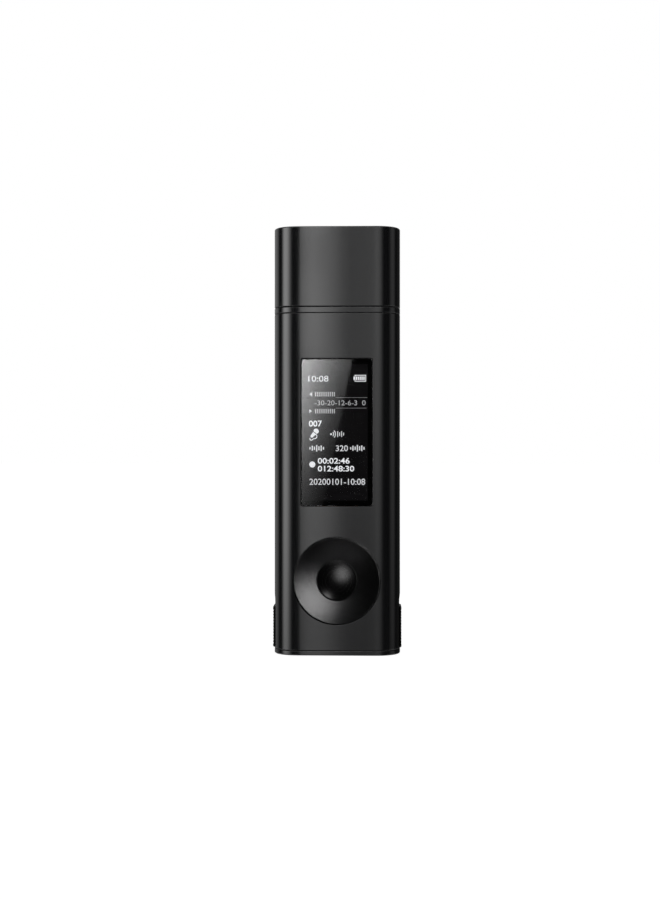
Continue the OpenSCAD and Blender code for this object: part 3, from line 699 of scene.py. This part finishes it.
def dial_ring():
    rim, lip = 0.13, 0.12
    slope = math.degrees(math.asin(RING_R / DISH_R))
    inner = RING_BORE_R + lip
    profile = [(RING_BORE_R, -RING_BASE)]
    profile += arc((inner, -dish_depth(inner) - lip), lip, 180, 90, 5)
    steps = 28
    last = RING_R - rim * (1 + math.sin(math.radians(slope)))
    start, end = inner + 0.03, last - 0.02
    radii = [start + (end - start) * i / steps for i in range(steps + 1)]
    profile += [(r, -dish_depth(r)) for r in radii]
    centre = (RING_R - rim, -dish_depth(last) - rim * math.cos(math.radians(slope)))
    profile += arc(centre, rim, 90 + slope, 0, 7)
    profile += [(RING_R, -FLANGE_TOP), (FLANGE_R, -FLANGE_TOP), (FLANGE_R, -RING_BASE)]
    place = on_front(DIAL_Z)
    obj = lathe("dial_ring", place, profile, 256, closed=True)
    nub_r, nub_at, nub_end = 0.8, 8.0, 3.35
    nubs = [
        lathe(
            "nub",
            Place(place.at(nub_at * a, nub_at * b, 0), place.u, place.v, place.w),
            [(nub_r, -RING_BASE + 0.3), (nub_r, -nub_end + 0.15), (nub_r - 0.15, -nub_end)],
            48,
        )
        for a, b in ((1, 0), (0, 1), (-1, 0), (0, -1))
    ]
    ears = []
    ear_at, half_l, half_w = 5.875, 0.375, 0.75
    for side in (-1, 1):
        z = DIAL_Z + side * ear_at
        top, foot = FRONT + RING_BASE - 0.3, FRONT + PIVOT_DEPTH + 0.2
        ears.append(block((-half_w, top, z - half_l), (half_w, foot, z + half_l)))
    combine(obj, [joined(nubs + ears)], "UNION")
    pin = Place((0, FRONT + PIVOT_DEPTH, DIAL_Z), (0, 1, 0), (1, 0, 0), (0, 0, 1))
    pin_r, reach = 0.35, 7
    hole = lathe("cutter", pin, [(pin_r, -reach), (pin_r, reach)], 32)
    combine(obj, [hole], "DIFFERENCE")
    shade(obj)
    return piece(obj, "dial_ring", "ring", "ring_black", "nav_ring")


def dial_button():
    rise = DOME_R - BUTTON_EDGE_R
    edge_at = BUTTON_R - BUTTON_EDGE_R
    tilt = math.degrees(math.asin(edge_at / rise))
    tip = -BUTTON_TOP - DOME_R
    dome = arc((0, tip), DOME_R, 89.6, 90 - tilt, 40)
    edge = arc((edge_at, tip + rise * math.cos(math.radians(tilt))), BUTTON_EDGE_R, 90 - tilt, 0, 8)
    skirt_r, skirt_top, skirt_t, stem_r, stem_end = 5.3, 2.4, 0.25, 1.6, 3.3
    profile = dome + edge[1:]
    profile += [(BUTTON_R, -skirt_top), (skirt_r, -skirt_top), (skirt_r, -skirt_top - skirt_t)]
    profile += [(stem_r, -skirt_top - skirt_t), (stem_r, -stem_end)]
    obj = shade(lathe("dial_button", on_front(DIAL_Z), profile))
    return piece(obj, "dial_button", "button", "ring_black", "centre_button", material=BUTTON_SATIN)


def slide(side, name, body, node):
    """Ribbed thumb piece. Rings run across it from front to back, each an outline in height and depth."""
    place = on_side(side, 0)
    low, high = SLIDE_LOW.z, SLIDE_HIGH.z
    middle = (low + high) / 2
    proud = SLIDE_HIGH.x - HALF_W
    corner_r, edge_r, end_r = 0.6, 0.16, 0.3
    plain_end, run_in = 0.55, 0.3  # length without ribs at each end, and length over which they start
    root = SLIDE_ROOT - HALF_W
    columns = 150

    def drop(distance, radius):
        """How far a rounded edge has fallen at a distance from the end."""
        d = max(0.0, min(distance, radius))
        return radius - math.sqrt(radius**2 - (radius - d) ** 2)

    def height(z, start, end, fall):
        rib = 1 - abs(math.cos(math.pi * (z - middle) / RIB_PITCH))
        clear = min(1.0, max(0.0, (min(z - low, high - z) - plain_end) / run_in))
        return proud - RIB_DEPTH * rib * clear - drop(min(z - start, end - z), end_r) - fall

    half = SLIDE_W / 2
    across = [-half + edge_r * (1 - math.cos(math.radians(t))) for t in range(0, 91, 15)]
    across += [-half + x for x in (0.25, 0.36, 0.48, 0.6)]
    across += [-x for x in reversed(across)]
    rings = []
    for y in across:
        start = low + drop(half - abs(y), corner_r)
        end = high - drop(half - abs(y), corner_r)
        fall = drop(half - abs(y), edge_r)
        line = [start + (end - start) * i / columns for i in range(columns + 1)]
        rings.append(
            [place.at(side * y, z, height(z, start, end, fall)) for z in line]
            + [place.at(side * y, end, root), place.at(side * y, start, root)]
        )
    obj = loft(name, rings)
    foot_x, foot_y, lap = SLIDE_ROOT - 0.7, (SLOT_W + 1.3) / 2, 0.02
    ends = sorted((side * foot_x, side * (SLIDE_ROOT + lap)))
    foot = block((ends[0], -foot_y, low + 0.1), (ends[1], foot_y, high - 0.1))
    combine(obj, [foot], "UNION")
    shade(obj, angle=40)
    return piece(obj, name, body, "slide_black", node)


# ---------- lens and the screen's figures ----------


def lens_pane():
    front, back = FRONT - LENS_LOW.y, FRONT - LENS_HIGH.y
    width, tall = LENS_HIGH.x - LENS_LOW.x, LENS_HIGH.z - LENS_LOW.z
    place = on_front(SCREEN_Z)
    edge_r, back_edge = 0.12, 0.03
    steps = [(back_edge, back), (0, back + back_edge)]
    steps += [(edge_r + a, front - edge_r + b) for a, b in arc((0, 0), edge_r, 180, 90, 5)]
    rings = [
        [
            place.at(a, b, h)
            for a, b in round_rect(width - 2 * g, tall - 2 * g, WINDOW_R - LENS_GAP / 2 - g)
        ]
        for g, h in steps
    ]
    obj = shade(loft("lens_pane", rings))
    return piece(obj, "lens_pane", "case", "lens_glass", "screen_lens")


GLYPH_FRONT = FRONT - PANEL_LOW.y + 0.022  # just in front of the display panel
GLYPH_T = 0.014
SCREEN = on_front(SCREEN_Z)


def flat_shape(outline):
    """Thin plate on the screen with the given outline, as (a, b) from the screen's middle."""
    return loft("mark", [[SCREEN.at(a, b, GLYPH_FRONT - t) for a, b in outline] for t in (0, GLYPH_T)])


def bar(a0, a1, b0, b1):
    return flat_shape([(a0, b0), (a1, b0), (a1, b1), (a0, b1)])


def figures(text, a0, a1, b0, b1, weight=0.0):
    """Row of figures that fills a box on the screen. weight thickens the strokes."""
    curve = bpy.data.curves.new("figures", "FONT")
    curve.body = text
    curve.extrude = 1.0
    curve.offset = weight
    curve.resolution_u = 4
    obj = bpy.data.objects.new("figures", curve)
    bpy.context.scene.collection.objects.link(obj)
    graph = bpy.context.evaluated_depsgraph_get()
    mesh = bpy.data.meshes.new_from_object(obj.evaluated_get(graph))
    bpy.data.objects.remove(obj)
    at = np.array([v.co for v in mesh.vertices])
    low, high = at.min(0), at.max(0)
    share = ((at - low) / (high - low)).tolist()
    for v, (s, t, depth) in zip(mesh.vertices, share):
        h = GLYPH_FRONT - GLYPH_T * (1 - depth)
        v.co = SCREEN.at(a0 + (a1 - a0) * s, b0 + (b1 - b0) * t, h) * MM
    made = bpy.data.objects.new("mark", mesh)
    bpy.context.scene.collection.objects.link(made)
    return made


def ribbon(points, width):
    """Band of even width along a line of points."""
    left, right = [], []
    for i, p in enumerate(points):
        before, after = points[max(i - 1, 0)], points[min(i + 1, len(points) - 1)]
        way = Vector((after[0] - before[0], after[1] - before[1])).normalized()
        side = Vector((-way.y, way.x)) * width / 2
        left.append((p[0] + side.x, p[1] + side.y))
        right.append((p[0] - side.x, p[1] - side.y))
    return flat_shape(left + right[::-1])


def battery_mark():
    """Battery outline with a nose on its left and five full cells."""
    a0, a1, b0, b1, line = 4.15, 6.8, 11.8, 13.35, 0.16
    marks = [
        bar(a0, a1, b0, b0 + line),
        bar(a0, a1, b1 - line, b1),
        bar(a1 - line, a1, b0 + line, b1 - line),
        bar(a0, a0 + line, b0 + line, b1 - line),
        bar(a0 - 0.28, a0 - 0.02, b0 + 0.4, b1 - 0.4),
    ]
    cells = 5
    pitch = (a1 - a0 - 2 * line - 0.12) / cells
    for i in range(cells):
        start = a0 + line + 0.1 + i * pitch
        marks.append(bar(start, start + pitch * 0.68, b0 + 0.34, b1 - 0.34))
    return marks


def meter_marks():
    """Two level meters with a pointer beside each, and the scale between them."""
    marks, faint = [], []
    for b0, b1, way in ((8.35, 9.4, 1), (4.4, 5.45, -1)):
        for i in range(11):
            start = -5.1 + 0.44 * i
            faint.append(bar(start, start + 0.24, b0, b1))
        middle = (b0 + b1) / 2
        tip, base = (-6.45, -5.75) if way > 0 else (-5.75, -6.45)
        marks.append(flat_shape([(tip, middle), (base, middle - 0.5), (base, middle + 0.5)]))
    lines = [bar(-0.3, 7.1, 8.02, 8.14), bar(-0.3, 6.9, 5.56, 5.68)]
    scale = figures("-30-20-12-6-3  0", -5.17, 6.7, 6.27, 7.45, 0.002)
    return marks, faint + [scale], lines


def microphone_mark():
    """Hand microphone leaning to the right, with its cable in a loop."""
    lean = math.radians(-40)
    middle_a, middle_b = -5.0, 0.05

    def turned(a, b):
        return (
            middle_a + a * math.cos(lean) - b * math.sin(lean),
            middle_b + a * math.sin(lean) + b * math.cos(lean),
        )

    head = [turned(a, b) for a, b in arc((0, 0.25), 0.62, -35, 215, 20)]
    body = [turned(a, b) for a, b in ((-0.44, -0.28), (0.44, -0.28), (0.27, -1.55), (-0.27, -1.55))]
    cable = arc((-5.95, -1.5), 0.34, 140, 300, 12) + arc((-5.2, -0.95), 0.55, 250, 420, 14)
    return [flat_shape(head), flat_shape(body), ribbon(cable, 0.17)]


def wave_mark(a0, a1, b0, b1):
    """Row of upright strokes like a sound wave."""
    heights = (0.35, 0.75, 0.5, 1.0, 0.6, 0.85, 0.4)
    pitch = (a1 - a0) / len(heights)
    middle, half = (b0 + b1) / 2, (b1 - b0) / 2
    return [
        bar(a0 + i * pitch, a0 + (i + 0.55) * pitch, middle - h * half, middle + h * half)
        for i, h in enumerate(heights)
    ]


def signal_mark(a0, b0):
    """Dot with two arcs and four strokes: recording that starts at a sound."""
    dot = flat_shape(arc((a0, b0), 0.24, 0, 342, 18))
    arcs = [ribbon(arc((a0, b0), r, -48, 48, 12), 0.2) for r in (0.62, 1.05)]
    strokes = [
        ribbon([(a0 + 1.55 + 0.46 * i, b0 - h), (a0 + 1.55 + 0.46 * i, b0 + h)], 0.2)
        for i, h in enumerate((0.68, 0.42, 0.68, 0.35))
    ]
    return [dot] + arcs + strokes


def screen_figures():
    """The lit figures: generic numbers, meters and signs, with no words."""
    needles, soft, lines = meter_marks()
    bright = [
        figures("007", -6.55, -3.45, 1.3, 2.75, 0.02),
        *microphone_mark(),
        flat_shape(arc((-5.72, -7.5), 0.7, 0, 351, 39)),
        figures("00:02:46", -4.45, 3.0, -7.33, -5.97, 0.02),
        figures("012:48:30", -4.45, 4.05, -9.15, -7.8, 0.02),
        *battery_mark(),
    ]
    plain = [
        figures("10:08", -6.65, -1.95, 11.8, 13.2, 0.006),
        *needles,
        *signal_mark(-1.35, -0.42),
        *wave_mark(-6.4, -2.75, -4.5, -2.95),
        figures("320", -0.25, 2.6, -4.42, -3.02, 0.01),
        *wave_mark(3.1, 6.7, -4.5, -2.95),
        figures("20200101-10:08", -6.4, 6.6, -12.25, -10.8, 0.008),
    ]
    groups = (("figures_bold", bright, 0.86), ("figures_plain", plain, 0.66))
    groups += (("figures_meter", soft, 0.36), ("figures_lines", lines, 0.1))
    for name, marks, level in groups:
        piece(joined(marks), name, "case", None, material=lit_mark(name + "_light", level))


# ---------- CAD nodes that stay ----------


def finish_cad_nodes():
    """Gives each CAD node its slot's material, and softens the edges of those under the cap."""
    for part in frame["record"]["subparts"]:
        obj = frame["nodes"][part["node"]]
        obj.data.materials.clear()
        obj.data.materials.append(MATERIALS[part["material_slot"]])
    for node, width in (("neck_frame", 0.15), ("usb_plug_shell", 0.06), ("usb_tongue", 0.12)):
        obj = frame["nodes"][node]
        weld = obj.modifiers.new("weld", "WELD")
        weld.merge_threshold = 1e-6
        bevel = obj.modifiers.new("edges", "BEVEL")
        bevel.width = width * MM
        bevel.segments = 2
        bevel.limit_method = "ANGLE"
        bevel.angle_limit = math.radians(40)
        bevel.harden_normals = True


# ---------- lights, floor and camera ----------


def linked(light, name, receivers):
    """Limits a light to some pieces."""
    group = bpy.data.collections.new(name)
    for o in receivers:
        group.objects.link(o)
    light.light_linking.receiver_collection = group


def ease(x):
    x = min(1.0, max(0.0, x))
    return x * x * (3 - 2 * x)


def light_sheet(name, radiance, points, glow, columns, receivers):
    """Sheet of light from rows of points, seen only in the reflections of some pieces."""
    rows = len(points) // (columns + 1) - 1
    corners = (j * (columns + 1) + i for j in range(rows) for i in range(columns))
    sheet = mesh_object(name, points, [(k, k + 1, k + columns + 2, k + columns + 1) for k in corners])
    layer = sheet.data.attributes.new("glow", "FLOAT", "POINT")
    layer.data.foreach_set("value", glow)
    sheet.data.materials.append(glow_material(name, radiance))
    sheet.visible_camera = False
    sheet.visible_shadow = False
    linked(sheet, name + "_receivers", receivers)


def hump(x, marks):
    """Rises from 0 to 1 between the first two marks and falls back to 0 between the last two."""
    start, full, fading, end = marks
    return ease((x - start) / (full - start)) * ease((end - x) / (end - fading))


def soft_light(name, receivers, turns, rises, radiance):
    """Soft light on a far wall round the object. turns and rises are the marks, in degrees of azimuth and
    elevation, between which it brightens and fades."""
    columns, rows, distance = 32, 24, 3000
    points, glow = [], []
    for j in range(rows + 1):
        v = j / rows
        rise = rises[0] + (rises[3] - rises[0]) * v
        flat = distance * math.cos(math.radians(rise))
        z = MIDDLE_Z + distance * math.sin(math.radians(rise))
        for i in range(columns + 1):
            turn = turns[0] + (turns[3] - turns[0]) * i / columns
            points.append((flat * math.sin(math.radians(turn)), -flat * math.cos(math.radians(turn)), z))
            glow.append(hump(turn, turns) * hump(rise, rises))
    light_sheet(name, radiance, points, glow, columns, receivers)


def near_strip(name, receivers, marks, radiance):
    """Upright strip of light close in front of the tube, which gives its flat front an even fall of light
    from left to right. marks are the distances along X between which it brightens and fades. Its light
    dims towards the foot."""
    distance, low, high, full, foot = 60.0, -60.0, 190.0, 80.0, 0.42
    columns, rows = 60, 24
    points, glow = [], []
    for j in range(rows + 1):
        z = low + (high - low) * j / rows
        fall = foot + (1 - foot) * min(1.0, max(0.0, z / full))
        for i in range(columns + 1):
            x = marks[0] + (marks[3] - marks[0]) * i / columns
            points.append((x, -distance, z))
            glow.append(fall * hump(x, marks))
    light_sheet(name, radiance, points, glow, columns, receivers)


def dial_light(name, receivers, at, half, radiance):
    """Round soft light for the dial. at is its middle as (azimuth, elevation), half its half width."""
    columns, rows, distance, centre = 24, 24, 1000, DIAL_Z
    points, glow = [], []
    for j in range(rows + 1):
        v = 2 * j / rows - 1
        rise = math.radians(at[1] + half * v)
        for i in range(columns + 1):
            u = 2 * i / columns - 1
            turn = math.radians(at[0] + half * u)
            flat = distance * math.cos(rise)
            z = centre + distance * math.sin(rise)
            points.append((flat * math.sin(turn), -flat * math.cos(turn), z))
            glow.append(ease((1 - math.hypot(u, v)) / 0.8))
    light_sheet(name, radiance, points, glow, columns, receivers)


def glow_material(name, radiance):
    """Light that follows the mesh's glow attribute and lets everything else through."""
    made = bpy.data.materials.new(name)
    made.use_nodes = True
    tree = made.node_tree
    tree.nodes.clear()
    glow = tree.nodes.new("ShaderNodeAttribute")
    glow.attribute_name = "glow"
    strength = tree.nodes.new("ShaderNodeMath")
    strength.operation = "MULTIPLY"
    strength.inputs[1].default_value = radiance
    light = tree.nodes.new("ShaderNodeEmission")
    clear = tree.nodes.new("ShaderNodeBsdfTransparent")
    both = tree.nodes.new("ShaderNodeAddShader")
    output = tree.nodes.new("ShaderNodeOutputMaterial")
    for a, b in (
        (glow.outputs["Fac"], strength.inputs[0]),
        (strength.outputs[0], light.inputs["Strength"]),
        (light.outputs[0], both.inputs[0]),
        (clear.outputs[0], both.inputs[1]),
        (both.outputs[0], output.inputs["Surface"]),
    ):
        tree.links.new(a, b)
    return made


def lens_glare(lens):
    """Slanted sheet of light whose mirror image lies on the upper left of the lens and fades downward."""
    camera = bpy.context.scene.camera.location / MM
    far = -camera.y * 0.8
    reach = (far + FRONT) / (-camera.y + FRONT)
    half_w, half_h = 9.5, 19.0
    top_x, foot_x = 4.0, -3.6
    dim_foot, dim_edge, radiance = 0.07, 0.09, 8.6
    columns, rows = 20, 20
    points, glow = [], []
    for j in range(rows + 1):
        v = j / rows
        z = SCREEN_Z - half_h + 2 * half_h * v
        edge = foot_x + (top_x - foot_x) * v
        for i in range(columns + 1):
            u = i / columns
            x = -half_w + (edge + half_w) * u
            points.append((x + (x - camera.x) * reach, -far, z + (z - camera.z) * reach))
            upward = dim_foot + (1 - dim_foot) * v**1.8
            across = dim_edge + (1 - dim_edge) * (1 - u) ** 1.6
            glow.append(upward * across)
    light_sheet("lens_glare", radiance, points, glow, columns, [lens])


def make_floor():
    """Pale floor as bright as the background. It glows, and a sun that lights only the floor adds a little,
    so that almost no shadow shows."""
    size, deep = 4000, -0.05
    corners = [(-size, -size, deep), (size, -size, deep), (size, size, deep), (-size, size, deep)]
    floor = mesh_object("floor", corners, [(0, 1, 2, 3)])
    f = Finish("floor_paper", roughness=1.0, specular_ior_level=0.0, emission_strength=0.96)
    paper = f.noise(3.0, 3.0)
    f.set("Base Color", f.blend(paper, (0.78, 0.78, 0.78), (0.8, 0.8, 0.8)))
    f.set("Emission Color", (1.0, 1.0, 1.0))
    floor.data.materials.append(f.material)
    floor.visible_diffuse = False
    floor.visible_glossy = False
    floor.visible_transmission = False
    floor.visible_shadow = False
    light = bpy.data.lights.new("floor_light", "SUN")
    light.angle = math.radians(70)
    light.energy = 0.35
    lamp = bpy.data.objects.new("floor_light", light)
    bpy.context.scene.collection.objects.link(lamp)
    linked(lamp, "floor_light_receivers", [floor])


def make_world():
    """White behind the object for the camera, nearly dark in reflections."""
    world = bpy.data.worlds.new("studio")
    bpy.context.scene.world = world
    world.use_nodes = True
    tree = world.node_tree
    tree.nodes.clear()
    path = tree.nodes.new("ShaderNodeLightPath")
    dim = tree.nodes.new("ShaderNodeBackground")
    dim.inputs["Color"].default_value = (0.008, 0.008, 0.008, 1)
    white = tree.nodes.new("ShaderNodeBackground")
    white.inputs["Color"].default_value = (1, 1, 1, 1)
    mix = tree.nodes.new("ShaderNodeMixShader")
    output = tree.nodes.new("ShaderNodeOutputWorld")
    for a, b in (
        (path.outputs["Is Camera Ray"], mix.inputs[0]),
        (dim.outputs[0], mix.inputs[1]),
        (white.outputs[0], mix.inputs[2]),
        (mix.outputs[0], output.inputs["Surface"]),
    ):
        tree.links.new(a, b)


def make_camera():
    """Camera at the photograph's place: level, just to the right of the object's middle."""
    distance, height, turn = 312.8, 47.87, math.radians(1.6)
    aside = -1.77  # shift across the view
    data = bpy.data.cameras.new("camera")
    data.sensor_width = 36
    data.lens = 52.61
    camera = bpy.data.objects.new("camera", data)
    camera.location = (
        (distance * math.sin(turn) + aside * math.cos(turn)) * MM,
        (-distance * math.cos(turn) + aside * math.sin(turn)) * MM,
        height * MM,
    )
    camera.rotation_euler = (math.radians(90), 0, turn)
    data.clip_start = 0.01
    bpy.context.scene.collection.objects.link(camera)
    bpy.context.scene.camera = camera


# ---------- assembly ----------

make_camera()
make_world()
finish_cad_nodes()

metal = [case_tube(), collar_band(), cap_tube(), end_plate()]
slides = [
    slide(-1, "slide_left", "left_switch", "left_slide"),
    slide(1, "slide_right", "right_switch", "right_slide"),
]
dial = [dial_ring(), dial_button()]
lens = lens_pane()
screen_figures()

kept = [o for o in frame["nodes"].values() if not o.hide_render]

shiny = metal + slides + kept
plug = [frame["nodes"][name] for name in ("usb_plug_shell", "usb_tongue", "neck_frame")]
ring, button = dial
# marks in degrees: elevations at the object's level, azimuths all round, elevations below and above
level = (-26, 6, 22, 40)
all_round = (-184, -176, 176, 184)
below = (-78, -60, -24, -12)
above = (40, 55, 68, 88)
near_strip("front_key", metal, (-12.8, -10.4, -8, 3), 2.3)
near_strip("front_fill", metal, (-12, -10, 12, 40), 0.7)
near_strip("front_right", metal, (6, 14.5, 15, 44), 0.6)
soft_light("left_strip", shiny + [lens], (-84, -61, -54, -20), level, 3.6)
soft_light("left_rear", shiny + [lens], (-175, -135, -116, -98), level, 0.62)
soft_light("right_strip", shiny + [lens], (55, 79, 84, 108), level, 0.38)
soft_light("right_rear", shiny + [lens], (106, 125, 165, 178), level, 0.035)
soft_light("rear", metal + slides, (-208, -190, -172, -152), level, 0.45)
soft_light("overhead", shiny + [lens] + dial, all_round, above, 0.7)
soft_light("front_high", metal, (-60, -20, 20, 60), (24, 36, 50, 64), 1.2)
soft_light("low_round", shiny, all_round, below, 0.3)
soft_light("low_left", metal + slides, (-75, -50, -35, -5), below, 1.1)
soft_light("low_right", metal + slides, (60, 85, 100, 130), below, 1.1)
soft_light("low_rear_right", metal + slides, (150, 185, 195, 225), below, 0.9)
soft_light("low_rear_left", metal + slides, (232, 250, 262, 285), below, 1.1)
soft_light("plug_light", plug, (-80, -10, 30, 100), (-50, 0, 30, 60), 0.35)
dial_light("ring_key", [ring], (18, 10), 25, 7.0)
dial_light("button_key", [button], (14, 14), 29, 3.1)
dial_light("button_low", [button], (-38, -48), 16, 5.0)
soft_light("ring_fill", [ring], (-38, -14, -2, 22), (-46, -33, -27, -14), 0.3)
lens_glare(lens)
make_floor()

scene = bpy.context.scene
scene.view_settings.view_transform = "Standard"
scene.cycles.use_denoising = True
